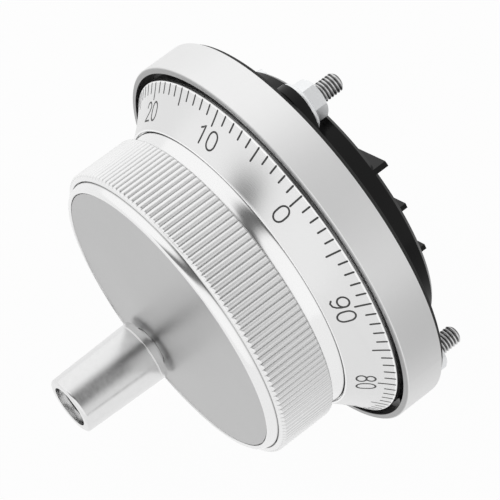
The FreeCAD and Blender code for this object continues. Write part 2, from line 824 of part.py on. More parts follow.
def make_terminals():
    """Contact strips, clamp washers, screws and board pins of both rows."""
    rows = [(x, -1) for x in row_places] + [(x, 1) for x in row_places]
    screw_places = [(x, s.tab_screw_line * side) for x, side in rows]
    pin_places = [(x, s.tab_pin_line * side) for x, side in rows]
    tab_half = half(s.barrier_pitch - s.barrier_thickness) - s.terminal_clearance

    tabs = new_body("terminal_tabs", several=True, place=IN_HOUSING)
    sketch = new_sketch(tabs, "strips", at=s.tab_back)
    for (x, side), (hole_x, hole_y) in zip(rows, screw_places):
        near = (s.barrier_inner_edge + s.terminal_clearance) * side
        far = (s.terminal_edge - s.terminal_clearance) * side
        rectangle(sketch, x - tab_half, near, x + tab_half, far)
        circle(sketch, hole_x, hole_y, half(threaded(s.terminal_screw_dia)))
    pad(tabs, sketch, s.tab_thickness)

    clamps = new_body("terminal_clamps", several=True, place=IN_HOUSING)
    sketch = new_sketch(clamps, "plates", at=s.clamp_back)
    reach = half(s.clamp_side)
    for x, y in screw_places:
        rectangle(sketch, x - reach, y - reach, x + reach, y + reach)
        circle(sketch, x, y, half(threaded(s.terminal_screw_dia)))
    pad(clamps, sketch, s.clamp_thickness)

    heads = screws("terminal_screws", screw_places, s.terminal_head_dia, s.terminal_head_height,
                   s.terminal_screw_dia, s.clamp_back, s.clamp_back + s.terminal_screw_length, False,
                   IN_HOUSING)
    slots = new_sketch(heads, "slots", at=s.clamp_back - s.terminal_head_height)
    reach = half(s.slot_width)
    for x, y in screw_places:
        rectangle(slots, x - s.terminal_head_dia, y - reach, x + s.terminal_head_dia, y + reach)
    pocket(heads, slots, s.slot_depth, towards_operator=True)
    pins = new_body("board_pins", several=True, place=IN_HOUSING)
    rods(pins, "rods", pin_places, s.pin_dia, s.terminal_floor, s.board_front + s.pin_overhang)


def make_encoder_board():
    body = new_body("encoder_board", place=IN_HOUSING)
    inner_wall = s.housing_dia - s.housing_wall * 2
    disc(body, inner_wall - s.board_clearance * 2, s.board_bore, s.board_back, s.board_front)
    holes(body, "post_notches", housing_screw_places, s.housing_post_dia + s.board_clearance * 2,
          s.board_back, s.board_front)
    holes(body, "screw_holes", board_screw_places, threaded(s.board_screw_dia), s.board_back,
          s.board_front)
    pin_places = [(x, s.tab_pin_line * side) for x in row_places for side in (-1, 1)]
    holes(body, "pin_holes", pin_places, threaded(s.pin_dia), s.board_back, s.board_front)

    spacers = new_body("board_spacers", several=True, place=IN_HOUSING)
    sketch = new_sketch(spacers, "rings", at=s.housing_floor)
    for x, y in board_screw_places:
        circle(sketch, x, y, half(s.board_spacer_dia))
        circle(sketch, x, y, half(threaded(s.board_screw_dia)))
    pad(spacers, sketch, s.board_gap)
    screws("board_screws", board_screw_places, s.board_screw_head_dia, s.board_screw_head_height,
           s.board_screw_dia, s.board_front, s.housing_floor - s.board_screw_grip, True, IN_HOUSING)


def block(label, left, bottom, right, top, start, stop):
    """A plain block on the circuit board, parallel to the shaft."""
    body = new_body(label, place=IN_HOUSING)
    pad(body, rectangle(new_sketch(body, "outline", at=start), left, bottom, right, top), stop - start)
    return body


def make_pickup():
    """Optical pickup: sensor and mask behind the code wheel, emitter in a bracket before it."""
    line = half(s.code_slit_line)
    sensor_reach = half(s.sensor_length)
    sensor_half = half(s.sensor_width)
    block("photo_sensor", line - sensor_reach, -sensor_half, line + sensor_reach, sensor_half,
          s.board_front, s.mask_back)
    mask_reach = half(s.emitter_side)
    block("sensor_mask", line - mask_reach, -sensor_half, line + mask_reach, sensor_half,
          s.mask_back, s.mask_back + s.mask_thickness)
    emitter_back = s.code_front + s.emitter_gap
    arm_back = emitter_back + s.emitter_height
    arm_front = s.encoder_roof - s.roof_clearance
    reach = half(s.emitter_side)
    block("light_emitter", line - reach, -reach, line + reach, reach, emitter_back, arm_back)
    bracket = new_body("emitter_bracket", place=IN_HOUSING)
    post_inner = half(s.code_dia) + s.bracket_clearance
    post_outer = post_inner + s.bracket_post
    side = half(s.bracket_width)
    post = rectangle(new_sketch(bracket, "post", at=s.board_front), post_inner, -side, post_outer, side)
    pad(bracket, post, arm_front - s.board_front)
    arm = rectangle(new_sketch(bracket, "arm", at=arm_back), line - reach, -side, post_outer, side)
    pad(bracket, arm, arm_front - arm_back)


def make_board_parts():
    chip = half(s.driver_length)
    block("line_driver", -s.driver_line - half(s.driver_width), -chip,
          -s.driver_line + half(s.driver_width), chip, s.board_front, s.board_front + s.driver_height)
    capacitor = new_body("smoothing_capacitor", place=IN_HOUSING)
    rods(capacitor, "can", [around(s.capacitor_line, CAPACITOR_ANGLE)], s.capacitor_dia, s.board_front,
         s.board_front + s.capacitor_height)


def make_code_wheel():
    wheel = new_body("code_wheel")
    disc(wheel, s.code_dia, s.shaft_tail_dia + s.shaft_fit * 2, s.code_back, s.code_front)
    line = half(s.code_slit_line)
    reach = half(s.code_slit_length)
    side = half(s.code_slit_width)
    slit = rectangle(new_sketch(wheel, "slit", at=s.code_front), line - reach, -side, line + reach, side)
    polar(wheel, [pocket(wheel, slit, s.code_thickness)], s.code_slits)

    hub = new_body("code_wheel_hub")
    bore = half(s.shaft_tail_dia) + s.shaft_fit
    flange_front = s.code_front + s.code_flange_thickness
    turn(hub, [
        (bore, s.code_front),
        (half(s.code_flange_dia), s.code_front),
        (half(s.code_flange_dia), flange_front),
        (half(s.code_boss_dia), flange_front),
        (half(s.code_boss_dia), s.code_hub_front),
        (bore, s.code_hub_front),
    ])


def cross_hole(body, name, diameter, height, outer, inner, plane="YZ_Plane"):
    """A radial hole through a boss, drilled from outside towards the shaft."""
    sketch = new_sketch(body, name, plane, at=outer)
    circle(sketch, 0, height, half(diameter))
    return pocket(body, sketch, outer - inner)


def cross_rod(body, diameter, height, inner, outer, plane="YZ_Plane"):
    """A radial set screw."""
    sketch = new_sketch(body, f"screw_{plane}", plane, at=inner)
    circle(sketch, 0, height, half(diameter))
    return pad(body, sketch, outer - inner)


def make_bearing_housing():
    """The tube that carries both bearings, one against each side of its middle web."""
    body = new_body("bearing_housing")
    seat = half(s.bearing_dia) + s.shaft_fit
    web = half(s.tube_web_bore)
    flange_front = s.base_front + s.tube_flange_thickness
    turn(body, [
        (seat, s.encoder_roof),
        (half(s.tube_spigot_dia), s.encoder_roof),
        (half(s.tube_spigot_dia), s.base_front),
        (half(s.tube_flange_dia), s.base_front),
        (half(s.tube_flange_dia), flange_front),
        (half(s.tube_dia), flange_front),
        (half(s.tube_dia), s.tube_front),
        (seat, s.tube_front),
        (seat, s.front_bearing_back),
        (web, s.front_bearing_back),
        (web, s.rear_bearing_front),
        (seat, s.rear_bearing_front),
    ])
    holes(body, "screw_holes", tube_screw_places, threaded(s.small_screw_dia), s.base_front,
          flange_front)
    screws("bearing_housing_screws", tube_screw_places, s.small_screw_head_dia,
           s.small_screw_head_height, s.small_screw_dia, flange_front,
           s.base_front - s.small_screw_grip, True)


def make_bearing(name, back, front):
    """A shielded ball bearing: the outer ring with both shields, and the inner ring."""
    outer = new_body(f"{name}_bearing_outer")
    shield = half(s.bearing_inner_dia) + s.bearing_shield_gap
    race = half(s.bearing_outer_bore)
    turn(outer, [
        (shield, back),
        (half(s.bearing_dia), back),
        (half(s.bearing_dia), front),
        (shield, front),
        (shield, front - s.bearing_shield),
        (race, front - s.bearing_shield),
        (race, back + s.bearing_shield),
        (shield, back + s.bearing_shield),
    ])
    inner = new_body(f"{name}_bearing_inner")
    disc(inner, s.bearing_inner_dia, s.shaft_dia + s.shaft_fit * 2, back, front)


def make_shaft():
    body = new_body("shaft")
    tail = half(s.shaft_tail_dia)
    radius = half(s.shaft_dia)
    groove = half(s.clip_groove_dia)
    back = s.code_back - s.shaft_tail_past_code
    front = s.web_back - s.shaft_point
    turn(body, [
        (0, back),
        (tail - s.shaft_point, back),
        (tail, back + s.shaft_point),
        (tail, s.code_hub_front),
        (radius, s.code_hub_front),
        (radius, s.clip_back),
        (groove, s.clip_back),
        (groove, s.rear_bearing_back),
        (radius, s.rear_bearing_back),
        (radius, front - s.shaft_point),
        (radius - s.shaft_point, front),
        (0, front),
    ])
    spacer = new_body("bearing_spacer")
    disc(spacer, s.spacer_dia, s.shaft_dia + s.shaft_fit * 2, s.rear_bearing_front, s.front_bearing_back)
    clip = new_body("shaft_clip")
    disc(clip, s.clip_dia, s.clip_groove_dia + s.shaft_fit * 2, s.clip_back, s.rear_bearing_back)
    gap = half(s.clip_groove_dia) / 2
    mouth = rectangle(new_sketch(clip, "mouth", at=s.rear_bearing_back), 0, -gap, s.clip_dia, gap)
    pocket(clip, mouth, s.clip_thickness)


def make_detent():
    """Magnetic detent: toothed shoes on magnets stand inside a toothed ring on the dial."""
    yoke = new_body("detent_yoke")
    outer = half(s.yoke_dia)
    inner = outer - s.yoke_wall
    bore = half(s.yoke_bore)
    flange_front = s.base_front + s.yoke_flange_thickness
    turn(yoke, [
        (bore, s.base_front),
        (outer, s.base_front),
        (outer, s.magnet_back),
        (inner, s.magnet_back),
        (inner, flange_front),
        (bore, flange_front),
    ])
    holes(yoke, "screw_holes", yoke_screw_places, threaded(s.small_screw_dia), s.base_front,
          flange_front)
    screws("yoke_screws", yoke_screw_places, s.small_screw_head_dia, s.small_screw_head_height,
           s.small_screw_dia, flange_front, s.base_front - s.small_screw_grip, True)

    magnets = new_body("detent_magnets", several=True)
    middle = outer - half(s.yoke_wall)
    sketch = sector(new_sketch(magnets, "sector", at=s.magnet_back), middle - half(s.magnet_width),
                    middle + half(s.magnet_width), s.shoe_arc)
    polar(magnets, [pad(magnets, sketch, s.magnet_height)], s.shoe_count)

    shoes = new_body("detent_shoes", several=True)
    tip = half(s.detent_bore_dia) - s.detent_air_gap
    sketch = sector(new_sketch(shoes, "sector", at=s.detent_back), inner, tip, s.shoe_arc)
    shoe = pad(shoes, sketch, s.detent_thickness)
    gaps = new_sketch(shoes, "gaps", at=s.dial_flange_back)
    pitch = Size.of(FULL_TURN) / s.detent_teeth
    for index in range(int(s.shoe_tooth_count.number) - 1):
        angle = pitch * (index + 1) - half(pitch * s.shoe_tooth_count)
        spread = s.detent_gap_mouth / tip * math.degrees(0.5)
        outline(gaps, [
            around(tip - s.detent_tooth_depth, angle - spread),
            around(tip + s.detent_air_gap / 2, angle - spread),
            around(tip + s.detent_air_gap / 2, angle + spread),
            around(tip - s.detent_tooth_depth, angle + spread),
        ])
    polar(shoes, [shoe, pocket(shoes, gaps, s.detent_thickness)], s.shoe_count)

    rotor = new_body("detent_rotor")
    disc(rotor, s.detent_dia, s.detent_bore_dia, s.detent_back, s.dial_flange_back)
    holes(rotor, "screw_holes", dial_screw_places, threaded(s.small_screw_dia), s.detent_back,
          s.dial_flange_back)
    bore_radius = half(s.detent_bore_dia)
    gap = new_sketch(rotor, "gap", at=s.dial_flange_back)
    outline(gap, [
        (bore_radius - s.detent_air_gap, -half(s.detent_gap_mouth)),
        (bore_radius + s.detent_tooth_depth, -half(s.detent_gap_root)),
        (bore_radius + s.detent_tooth_depth, half(s.detent_gap_root)),
        (bore_radius - s.detent_air_gap, half(s.detent_gap_mouth)),
    ])
    polar(rotor, [pocket(rotor, gap, s.detent_thickness)], s.detent_teeth)


def sector(sketch, inner, outer, arc):
    """A piece of a ring, spread evenly about the X axis."""
    angle = half(arc)
    return outline(sketch, [
        around(inner, -angle),
        around(outer, -angle),
        Bend(outer, -1),
        around(outer, angle),
        around(inner, angle),
        Bend(inner, 1),
    ])


def make_dial():
    body = new_body("dial_skirt")
    outer = half(s.dial_dia)
    top = half(s.dial_top_dia)
    turn(body, [
        (half(s.dial_bore), s.dial_flange_back),
        (top - s.dial_wall, s.dial_flange_back),
        (outer - s.dial_wall, s.dial_edge_back),
        (outer, s.dial_edge_back),
        (outer, s.dial_edge_front - s.dial_edge_chamfer),
        (outer - s.dial_edge_chamfer, s.dial_edge_front),
        Bend(s.dial_hollow_radius, 1),
        (top, s.dial_front),
        (half(s.dial_bore), s.dial_front),
    ])
    holes(body, "screw_holes", dial_screw_places, threaded(s.small_screw_dia), s.dial_flange_back,
          s.dial_front)
    screws("dial_screws", dial_screw_places, s.small_screw_head_dia, s.small_screw_head_height,
           s.small_screw_dia, s.detent_back, s.dial_front + s.small_screw_grip, False)


def make_wheel():
    """The fluted wheel: polished waist, straight flutes, shoulder, crown and recessed web."""
    body = new_body("knurled_wheel")
    outer = half(s.wheel_dia)
    waist = half(s.dial_top_dia)
    crown = half(s.crown_groove_dia)
    crown_top = half(s.crown_top_dia)
    recess = half(s.plate_dia) + s.plate_clearance
    wall = outer - s.wheel_wall
    bore = half(s.dial_bore)
    flange_front = s.dial_front + s.wheel_inner_flange
    runout = s.flute_depth * 1.5
    turn(body, [
        (bore, s.dial_front),
        (waist, s.dial_front),
        Bend(s.waist_hollow_radius, 1),
        (outer - runout, s.waist_front - runout),
        (outer, s.waist_front),
        (outer, s.flute_front),
        (outer - runout, s.flute_front + runout),
        Bend(s.shoulder_radius, -1),
        (half(s.shoulder_dia), s.shoulder_front),
        (crown, s.shoulder_front),
        Bend(s.crown_radius, -1),
        (crown_top, s.wheel_front),
        (recess, s.wheel_front),
        (recess, s.plate_back),
        (0, s.plate_back),
        (0, s.web_back),
        (wall, s.web_back),
        (wall, flange_front),
        (bore, flange_front),
    ])
    rods(body, "pin_boss", [handle_place], s.pin_boss_dia, s.web_back - s.pin_boss_height, s.web_back)
    holes(body, "pin_hole", [handle_place], threaded(s.pin_thread_dia),
          s.plate_back - s.pin_thread_length - s.stud_point, s.plate_back)
    holes(body, "hub_screw_holes", hub_screw_places, threaded(s.hub_screw_dia), s.web_back,
          s.plate_back)
    seat = s.plate_back - s.hub_screw_head_height - s.hub_screw_sink
    holes(body, "hub_screw_seats", hub_screw_places, s.hub_screw_head_dia + s.plate_clearance * 2,
          seat, s.plate_back)
    holes(body, "dial_screw_holes", dial_screw_places, threaded(s.small_screw_dia), s.dial_front,
          flange_front)
    flute = new_sketch(body, "flute", at=s.wheel_front)
    outline(flute, [
        (outer + s.flute_depth, -s.flute_mouth),
        (outer + s.flute_depth, s.flute_mouth),
        (outer - s.flute_depth, 0),
    ])
    polar(body, [pocket(body, flute, s.wheel_front - s.waist_front + runout)], s.flute_count)

    screws("wheel_screws", hub_screw_places, s.hub_screw_head_dia, s.hub_screw_head_height,
           s.hub_screw_dia, seat, s.hub_flange_back + s.hub_screw_sink, True)


def make_face_plate():
    body = new_body("face_plate")
    disc(body, s.plate_dia, Size.of(0), s.plate_back, s.plate_front)
    holes(body, "pin_hole", [handle_place], s.pin_collar_dia + s.plate_clearance * 2, s.plate_back,
          s.plate_front)


def make_hub():
    body = new_body("wheel_hub")
    bore = half(s.shaft_dia) + s.shaft_fit
    nose = half(s.spacer_dia)
    boss = half(s.hub_boss_dia)
    turn(body, [
        (bore, s.front_bearing_front),
        (nose, s.front_bearing_front),
        (nose, s.hub_boss_back),
        (boss, s.hub_boss_back),
        (boss, s.hub_flange_back),
        (half(s.hub_flange_dia), s.hub_flange_back),
        (half(s.hub_flange_dia), s.web_back),
        (bore, s.web_back),
    ])
    holes(body, "screw_holes", hub_screw_places, threaded(s.hub_screw_dia), s.hub_flange_back,
          s.web_back)
    height = half(s.hub_boss_back + s.hub_flange_back)
    hub_screws = new_body("hub_set_screws", several=True)
    for plane in ("YZ_Plane", "XZ_Plane"):
        cross_hole(body, f"screw_hole_{plane}", threaded(s.set_screw_dia), height, boss, bore, plane)
        cross_rod(hub_screws, s.set_screw_dia, height, bore, boss, plane)


def make_handle():
    """A tapered sleeve that turns on a shoulder screw through a plain bush."""
    pin = new_body("handle_pin")
    head_back = s.handle_step + s.handle_play
    head_front = head_back + s.pin_head_height
    turn_on(pin, [
        (0, s.plate_back - s.pin_thread_length),
        (half(s.pin_thread_dia), s.plate_back - s.pin_thread_length),
        (half(s.pin_thread_dia), s.plate_back),
        (half(s.pin_collar_dia), s.plate_back),
        (half(s.pin_collar_dia), s.handle_back),
        (half(s.pin_shank_dia), s.handle_back),
        (half(s.pin_shank_dia), head_back),
        (half(s.pin_head_dia), head_back),
        (half(s.pin_head_dia), head_front),
        (0, head_front),
    ], *handle_place)
    slot = new_sketch(pin, "slot", at=head_front, turned=s.pin_slot_angle)
    rectangle(slot, -s.pin_head_dia, -half(s.pin_slot_width), s.pin_head_dia, half(s.pin_slot_width))
    pocket(pin, slot, s.pin_slot_depth)

    back = s.handle_back + s.handle_play
    base = half(s.handle_base_dia)
    tip = half(s.handle_tip_dia)
    ring = s.handle_ring_line
    taper = (base - tip) / (s.handle_front - s.handle_tip_radius - back)
    ring_radius = base - taper * ring
    sleeve = new_body("handle_sleeve")
    turn_on(sleeve, [
        (half(s.handle_bush_dia), back),
        (base, back),
        (ring_radius + taper * s.handle_ring_depth, back + ring - s.handle_ring_depth),
        (ring_radius - s.handle_ring_depth, back + ring),
        (ring_radius - taper * s.handle_ring_depth, back + ring + s.handle_ring_depth),
        (tip, s.handle_front - s.handle_tip_radius),
        Bend(s.handle_tip_radius, -1),
        (tip - s.handle_tip_radius, s.handle_front),
        (half(s.handle_bore), s.handle_front),
        (half(s.handle_bore), s.handle_step),
        (half(s.handle_bush_dia), s.handle_step),
    ], *handle_place)
    bush = new_body("handle_bush")
    turn_on(bush, [
        (half(s.pin_shank_dia) + s.pin_running_fit, back),
        (half(s.handle_bush_dia), back),
        (half(s.handle_bush_dia), s.handle_step),
        (half(s.pin_shank_dia) + s.pin_running_fit, s.handle_step),
    ], *handle_place)


def check_model():
    """Stop at any feature that failed and at any piece without a sound shape."""
    for item in doc.Objects:
        if "Invalid" in item.State or "Error" in item.State:
            raise RuntimeError(f"{item.Name} failed: {item.State}")
    for body in bodies:
        shape = body.Shape
        if shape.isNull() or not shape.isValid() or not shape.Solids:
            raise RuntimeError(f"{body.Label} has no sound shape")


make_bezel_body()
make_gasket()
make_studs()
make_stud_pads()
make_washers()
make_nuts()
make_rear_housing()
make_terminals()
make_encoder_board()
make_pickup()
make_board_parts()
make_code_wheel()
make_bearing_housing()
make_bearing("rear", s.rear_bearing_back, s.rear_bearing_front)
make_bearing("front", s.front_bearing_back, s.front_bearing_front)
make_shaft()
make_detent()
make_dial()
make_wheel()
make_face_plate()
make_hub()
make_handle()

doc.recompute()
check_model()
os.makedirs("parts", exist_ok=True)
for piece in bodies:
    piece.Shape.exportStep(f"parts/{piece.Label}.step")
    box = piece.Shape.BoundBox
    print(f"{piece.Label}: {len(piece.Shape.Solids)} solids, {piece.Shape.Volume:.1f} mm3, "
          f"{box.XLength:.1f} x {box.YLength:.1f} x {box.ZLength:.1f} mm")
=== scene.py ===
import math

import bpy
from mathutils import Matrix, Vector


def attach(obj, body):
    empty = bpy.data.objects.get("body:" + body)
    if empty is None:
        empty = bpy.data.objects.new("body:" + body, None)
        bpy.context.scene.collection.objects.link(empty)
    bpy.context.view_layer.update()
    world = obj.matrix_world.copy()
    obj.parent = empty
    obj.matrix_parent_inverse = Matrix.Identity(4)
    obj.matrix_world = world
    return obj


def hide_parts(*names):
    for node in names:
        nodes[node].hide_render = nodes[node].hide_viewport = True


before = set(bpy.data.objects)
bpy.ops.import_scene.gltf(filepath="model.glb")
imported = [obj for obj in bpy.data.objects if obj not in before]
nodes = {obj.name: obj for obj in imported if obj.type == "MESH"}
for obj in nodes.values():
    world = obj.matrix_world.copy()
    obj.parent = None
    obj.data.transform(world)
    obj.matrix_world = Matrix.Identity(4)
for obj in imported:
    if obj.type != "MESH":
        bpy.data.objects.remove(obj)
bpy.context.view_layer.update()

MM = 0.001
TO_MM = 1000.0
FULL_TURN = 360.0

# Sizes are in millimetres and degrees. Heights run from the panel's face to the operator, and a
# pair of numbers is a radius and a height.
LIP_RADIUS = 38.8

DIAL_OUTER = (37.35, 9.55)
DIAL_INNER = (31.1, 16.15)
DIAL_HOLLOW_RADIUS = 40.0
DIAL_ZERO = 67.3
DIVISIONS = 100
# Height of the painted shade line on the dial's wall
WALL_SHADE_HEIGHT = 9.26

FLUTE_COUNT = 150
FLUTE_DEPTH = 0.4
FLUTE_ROOT = 31.1
FLUTE_BACK = 19.5
FLUTE_FRONT = 31.1
# Radii and height of the crown's groove, which carries painted shade
CROWN_GROOVE_INNER = 29.97
CROWN_GROOVE_OUTER = 30.15
CROWN_GROOVE_BACK = 31.0
JOINT_SHADE = (16.1, 16.35)

STUD_CIRCLE = 34.5
STUD_ANGLES = (90.0, 210.0, 330.0)
THREAD_CORE = 1.62
THREAD_CREST = 1.98

# Scales of the finishes' patterns in waves to the metre, and depths in metres
LATHE_LINES = 14000.0
FLUTE_LINES = 9000.0
LINE_STRETCH = 0.03
SMEARS = 55.0
BLAST_GRAIN = 7000.0
BLAST_PATCHES = 60.0
PLATING_MOTTLE = 900.0
MOULDED_TONE = 40.0
FLOOR_GRAIN = 300.0
GRAIN_DEPTH = 0.00004
LINE_DEPTH = 0.00002


def place(radius, angle, height):
    """A point in metres from a radius and height in millimetres and an angle round the shaft."""
    turn = math.radians(angle)
    return Vector((radius * math.cos(turn), -height, radius * math.sin(turn))) * MM


# Shader trees


class Value:
    """A socket of a shader tree; expressions on values add the Math nodes that they need."""

    def __init__(self, graph, socket):
        self.graph = graph
        self.socket = socket

    def __add__(self, other):
        return self.graph.math("ADD", self, other)

    def __radd__(self, other):
        return self.graph.math("ADD", other, self)

    def __sub__(self, other):
        return self.graph.math("SUBTRACT", self, other)

    def __rsub__(self, other):
        return self.graph.math("SUBTRACT", other, self)

    def __mul__(self, other):
        return self.graph.math("MULTIPLY", self, other)

    def __rmul__(self, other):
        return self.graph.math("MULTIPLY", other, self)

    def __pow__(self, other):
        return self.graph.math("POWER", self, other)


class Graph:
    """A shader tree that is written as expressions."""

    def __init__(self, tree):
        self.tree = tree
        tree.nodes.clear()

    def node(self, kind, settings, inputs, output=0):
        """Add a node: its settings first, then the numbers or links of its sockets."""
        made = self.tree.nodes.new(kind)
        for name, setting in settings.items():
            setattr(made, name, setting)
        for name, value in inputs.items():
            socket = made.inputs[name]
            if isinstance(value, Value):
                self.tree.links.new(value.socket, socket)
            else:
                socket.default_value = value
        return Value(self, made.outputs[output]) if made.outputs else None

    def math(self, operation, first, second=0.0):
        return self.node("ShaderNodeMath", {"operation": operation}, {0: first, 1: second})

    def mix(self, factor, first, second):
        """Mix two colours by a factor."""
        return self.node("ShaderNodeMix", {"data_type": "RGBA"},
                         {0: factor, 6: first, 7: second}, 2)

    def ramp(self, value, low, high):
        """A value that rises smoothly from 0 at low to 1 at high."""
        return self.node("ShaderNodeMapRange", {"interpolation_type": "SMOOTHSTEP"},
                         {"Value": value, "From Min": low, "From Max": high})

    def dot(self, vector, direction):
        """How far a vector reaches in a direction."""
        return self.node("ShaderNodeVectorMath", {"operation": "DOT_PRODUCT"},
                         {0: vector, 1: tuple(direction)}, "Value")

    def parts(self, vector):
        """The x, y and z of a vector."""
        split = self.node("ShaderNodeSeparateXYZ", {}, {0: vector})
        return [Value(self, socket) for socket in split.socket.node.outputs]


def grey(level):
    return (level, level, level, 1.0)


def vary(middle, pattern, spread):
    """A number that a pattern from 0 to 1 spreads about its middle."""
    return pattern * spread + (middle - spread / 2)


class Surface(Graph):
    """The tree of one material, with the coordinates that its patterns use."""

    def __init__(self, name):
        self.material = bpy.data.materials.new(name)
        self.material.use_nodes = True
        super().__init__(self.material.node_tree)
        self.place = self.node("ShaderNodeTexCoord", {}, {}, "Object")

    def noise(self, scale, detail, vector=None):
        """Noise about 0.5."""
        return self.node("ShaderNodeTexNoise", {},
                         {"Vector": vector or self.place, "Scale": scale, "Detail": detail})

    def shaft_distance(self):
        """Distance from the shaft's axis in metres."""
        x, _, z = self.parts(self.place)
        return (x * x + z * z) ** 0.5

    def radius(self):
        """Distance from the shaft's axis in millimetres."""
        return self.shaft_distance() * TO_MM

    def stud_radius(self):
        """Distance from the nearest stud's axis in millimetres."""
        x, _, z = self.parts(self.place)
        radii = []
        for angle in STUD_ANGLES:
            axis = place(STUD_CIRCLE, angle, 0.0)
            across = x - axis.x
            up = z - axis.z
            radii.append((across * across + up * up) ** 0.5 * TO_MM)
        nearest = radii[0]
        for radius in radii[1:]:
            nearest = self.math("MINIMUM", nearest, radius)
        return nearest

    def height(self):
        """Height over the panel's face in millimetres."""
        _, y, _ = self.parts(self.place)
        return y * -TO_MM

    def lathe_rings(self):
        """Fine noise that is the same all round the shaft, as a lathe leaves it."""
        _, y, _ = self.parts(self.place)
        flat = self.node("ShaderNodeCombineXYZ", {}, {"X": self.shaft_distance(), "Y": y})
        return self.noise(LATHE_LINES, 2.0, flat)

    def bump(self, height, strength, depth):
        return self.node("ShaderNodeBump", {},
                         {"Height": height, "Strength": strength, "Distance": depth})

    def finish(self, settings):
        """Close the tree with the surface shader and return the material."""
        shader = self.node("ShaderNodeBsdfPrincipled", {}, settings)
        self.node("ShaderNodeOutputMaterial", {}, {"Surface": shader})
        return self.material


def blasted_metal(name, dark, light, roughness, bore=None):
    """Bead-blasted and anodised aluminium: a fine even grain and faint cloudy patches.

    Where a bore's radius is given, painted shade darkens the bore's wall and the face round its
    lip.
    """
    s = Surface(name)
    grain = s.noise(BLAST_GRAIN, 2.0)
    patches = s.noise(BLAST_PATCHES, 3.0)
    face = s.mix(patches * 0.6 + grain * 0.4, grey(dark), grey(light))
    if bore:
        # Painted shade: the face next to the lip is darkened, and the bore's wall is made dark
        # grey.
        radius = s.radius()
        face = s.mix(s.ramp(radius, bore + 0.9, bore + 1.2), grey(dark * 0.5), face)
        face = s.mix(s.ramp(radius, bore - 0.02, bore + 0.06), grey(0.2), face)
    return s.finish({
        "Base Color": face,
        "Metallic": 1.0,
        "Roughness": vary(roughness, grain, 0.12),
        "Normal": s.bump(grain, 0.3, GRAIN_DEPTH),
    })


def dial_finish():
    """Turned metal with painted highlights on its edges and painted shade on the wall below the
    outer edge.
    """
    s = Surface("dial_metal")
    rings = s.lathe_rings()
    smears = s.noise(SMEARS, 4.0)
    radius = s.radius()
    # Painted highlight: the dial face's outer and inner edges are made nearly white.
    painted_edge_highlight = s.ramp(radius, DIAL_OUTER[0] - 0.16, DIAL_OUTER[0] - 0.1)
    painted_edge_highlight = painted_edge_highlight + (1.0 - s.ramp(radius, DIAL_INNER[0] - 0.02, DIAL_INNER[0] + 0.06))
    # Painted shade: the wall below the outer edge is darkened a little all over, and strongly in a
    # thin line under the edge.
    wall = s.ramp(radius, DIAL_OUTER[0] + 0.09, DIAL_OUTER[0] + 0.12)
    painted_wall_shade = 1.0 - s.ramp(s.math("ABSOLUTE", s.height() - WALL_SHADE_HEIGHT), 0.08, 0.16)
    face = s.mix(smears * 0.7 + rings * 0.3, grey(0.75), grey(0.82))
    face = s.mix(painted_edge_highlight, face, grey(0.98))
    return s.finish({
        "Base Color": s.mix(wall * (painted_wall_shade * 0.6 + 0.1), face, grey(0.05)),
        "Metallic": 1.0,
        "Roughness": rings * 0.06 + smears * 0.06 + 0.19,
        "Normal": s.bump(rings, 0.2, LINE_DEPTH),
    })


def wheel_finish():
    """Polished aluminium, satin and finely lined along the flutes, with painted shade in the
    flutes' grooves, in the crown's groove and at the joint with the dial.
    """
    s = Surface("wheel_metal")
    x, y, z = s.parts(s.place)
    height = s.height()
    radius = s.radius()
    angle = s.math("ARCTAN2", z, x)
    band = s.ramp(height, FLUTE_BACK - 0.3, FLUTE_BACK)
    band = band * (1.0 - s.ramp(height, FLUTE_FRONT, FLUTE_FRONT + 0.3))
    round_rim = angle * ((FLUTE_ROOT + FLUTE_DEPTH) * MM)
    along = s.node("ShaderNodeCombineXYZ", {}, {"X": round_rim, "Y": y * LINE_STRETCH})
    lines = s.noise(FLUTE_LINES, 2.0, along)
    rings = s.lathe_rings()
    smears = s.noise(SMEARS, 4.0)
    # Painted shade: the grooves between the flutes are darkened.
    painted_flute_groove_shade = s.ramp(s.math("COSINE", angle * float(FLUTE_COUNT)), 0.72, 1.0) * band
    # Painted shade: the narrow groove in the crown's front is darkened.
    painted_crown_groove_shade = s.ramp(radius, CROWN_GROOVE_INNER - 0.07, CROWN_GROOVE_INNER)
    painted_crown_groove_shade = painted_crown_groove_shade * (1.0 - s.ramp(radius, CROWN_GROOVE_OUTER, CROWN_GROOVE_OUTER + 0.1))
    painted_crown_groove_shade = painted_crown_groove_shade * s.ramp(height, CROWN_GROOVE_BACK - 0.3, CROWN_GROOVE_BACK)
    # Painted shade: below the joint with the dial the wheel is made dark.
    foot = 1.0 - s.ramp(height, *JOINT_SHADE)
    metal = s.mix(smears * 0.6 + lines * band * 0.4, grey(0.84), grey(0.94))
    metal = s.mix(painted_flute_groove_shade * 0.3, metal, grey(0.12))
    metal = s.mix(painted_crown_groove_shade, metal, grey(0.60))
    return s.finish({
        "Base Color": s.mix(foot, metal, grey(0.15)),
        "Metallic": 1.0,
        "Roughness": band * 0.18 + rings * 0.05 + smears * 0.04 + 0.11,
        "Normal": s.bump(lines * band + rings * 0.15 * (1.0 - band), 0.5, LINE_DEPTH),
    })


def plated_metal(name, dark, light, roughness, threaded=False):
    """Plated or ground metal with a faint mottle; on a stud's thread, painted shade darkens the
    roots between the crests.
    """
    s = Surface(name)
    mottle = s.noise(PLATING_MOTTLE, 4.0)
    face = s.mix(mottle, dark, light)
    if threaded:
        # Painted shade in the roots of the thread.
        crest = s.ramp(s.stud_radius(), THREAD_CORE + 0.04, THREAD_CREST - 0.06)
        face = s.mix(crest, grey(0.14), face)
    return s.finish({
        "Base Color": face,
        "Metallic": 1.0,
        "Roughness": vary(roughness, mottle, 0.14),
        "Normal": s.bump(mottle, 0.12, GRAIN_DEPTH),
    })


